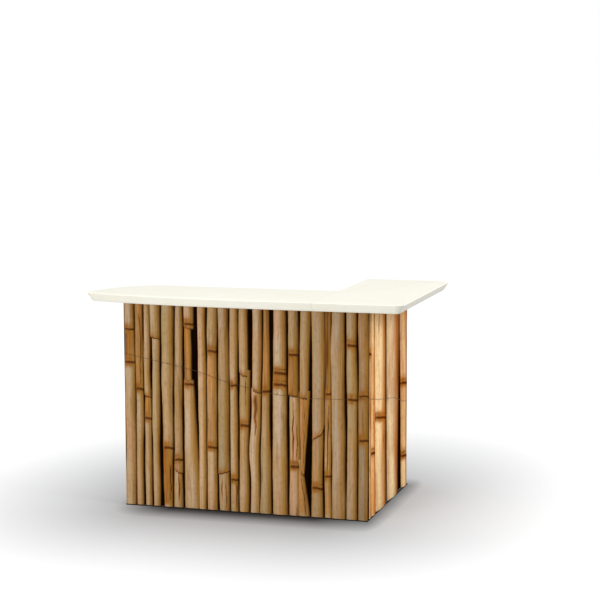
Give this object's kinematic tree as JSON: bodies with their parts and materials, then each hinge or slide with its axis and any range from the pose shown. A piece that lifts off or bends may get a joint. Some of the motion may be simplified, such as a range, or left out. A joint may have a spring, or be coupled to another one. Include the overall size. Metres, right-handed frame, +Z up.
{
  "type": "bar counter",
  "caption": "L-shaped outdoor bar counter with a two-piece moulded top, bamboo-clad walls, a square tube frame, open bays with slide-out shelves, and levelling feet.",
  "frame": {"origin": "on the floor, under the middle of the counter's footprint", "axes": "+X to the right along the front, from a guest's side; +Y from the guests' side to the server's side; +Z up"},
  "size_m": [1.601, 1.0236, 1.067],
  "materials": {
    "counter_plastic": "cream moulded plastic, satin, slightly textured",
    "bamboo": "split bamboo canes, matt, tan with darker rings and near-black gaps",
    "frame_paint": "dark brown powder coat",
    "shelf_wood": "sealed plywood",
    "foot_plastic": "black nylon"
  },
  "bodies": {
    "frame": {"cladding_front": "bamboo", "cladding_right": "bamboo", "cladding_left": "bamboo", "cladding_end": "bamboo", "post_front_left": "frame_paint", "post_back_left": "frame_paint", "post_front_right": "frame_paint", "post_inner_corner": "frame_paint", "post_end_inner": "frame_paint", "post_end_outer": "frame_paint", "post_front_middle": "frame_paint", "post_back_middle": "frame_paint", "post_front_seam": "frame_paint", "post_right_middle": "frame_paint", "rail_front_bottom": "frame_paint", "rail_back_bottom": "frame_paint", "rail_corner_bottom": "frame_paint", "rail_end_bottom": "frame_paint", "rail_left_bottom": "frame_paint", "rail_right_bottom": "frame_paint", "rail_inner_bottom": "frame_paint", "rail_middle_bottom": "frame_paint", "rail_seam_bottom": "frame_paint", "rail_front_top": "frame_paint", "rail_back_top": "frame_paint", "rail_corner_top": "frame_paint", "rail_end_top": "frame_paint", "rail_left_top": "frame_paint", "rail_right_top": "frame_paint", "rail_inner_top": "frame_paint", "rail_middle_top": "frame_paint", "rail_seam_top": "frame_paint", "runner_left_outer": "frame_paint", "runner_left_inner": "frame_paint", "runner_right_inner": "frame_paint", "runner_right_outer": "frame_paint", "runner_return_front": "frame_paint", "runner_return_end": "frame_paint", "deck_left": "shelf_wood", "deck_right": "shelf_wood", "deck_corner": "shelf_wood", "deck_return": "shelf_wood"},
    "counter_main": {"counter_main": "counter_plastic"},
    "counter_return": {"counter_return": "counter_plastic"},
    "shelf_left": {"shelf_left": "shelf_wood"},
    "shelf_right": {"shelf_right": "shelf_wood"},
    "shelf_return": {"shelf_return": "shelf_wood"},
    "foot_front_left": {"foot_front_left": "foot_plastic"},
    "foot_back_left": {"foot_back_left": "foot_plastic"},
    "foot_front_right": {"foot_front_right": "foot_plastic"},
    "foot_inner_corner": {"foot_inner_corner": "foot_plastic"},
    "foot_end_inner": {"foot_end_inner": "foot_plastic"},
    "foot_end_outer": {"foot_end_outer": "foot_plastic"}
  },
  "joints": [
    {"name": "counter_main_lift", "type": "slide", "parent": "frame", "child": "counter_main", "axis": [0, 0, 1], "range_m": [0, 0.06]},
    {"name": "counter_return_lift", "type": "slide", "parent": "frame", "child": "counter_return", "axis": [0, 0, 1], "range_m": [0, 0.06]},
    {"name": "shelf_left_slide", "type": "slide", "parent": "frame", "child": "shelf_left", "axis": [0, 1, 0], "range_m": [0, 0.185]},
    {"name": "shelf_right_slide", "type": "slide", "parent": "frame", "child": "shelf_right", "axis": [0, 1, 0], "range_m": [0, 0.185]},
    {"name": "shelf_return_slide", "type": "slide", "parent": "frame", "child": "shelf_return", "axis": [-1, 0, 0], "range_m": [0, 0.185]},
    {"name": "foot_front_left_screw", "type": "slide", "parent": "frame", "child": "foot_front_left", "axis": [0, 0, -1], "range_m": [0, 0.012]},
    {"name": "foot_back_left_screw", "type": "slide", "parent": "frame", "child": "foot_back_left", "axis": [0, 0, -1], "range_m": [0, 0.012]},
    {"name": "foot_front_right_screw", "type": "slide", "parent": "frame", "child": "foot_front_right", "axis": [0, 0, -1], "range_m": [0, 0.012]},
    {"name": "foot_inner_corner_screw", "type": "slide", "parent": "frame", "child": "foot_inner_corner", "axis": [0, 0, -1], "range_m": [0, 0.012]},
    {"name": "foot_end_inner_screw", "type": "slide", "parent": "frame", "child": "foot_end_inner", "axis": [0, 0, -1], "range_m": [0, 0.012]},
    {"name": "foot_end_outer_screw", "type": "slide", "parent": "frame", "child": "foot_end_outer", "axis": [0, 0, -1], "range_m": [0, 0.012]}
  ]
}
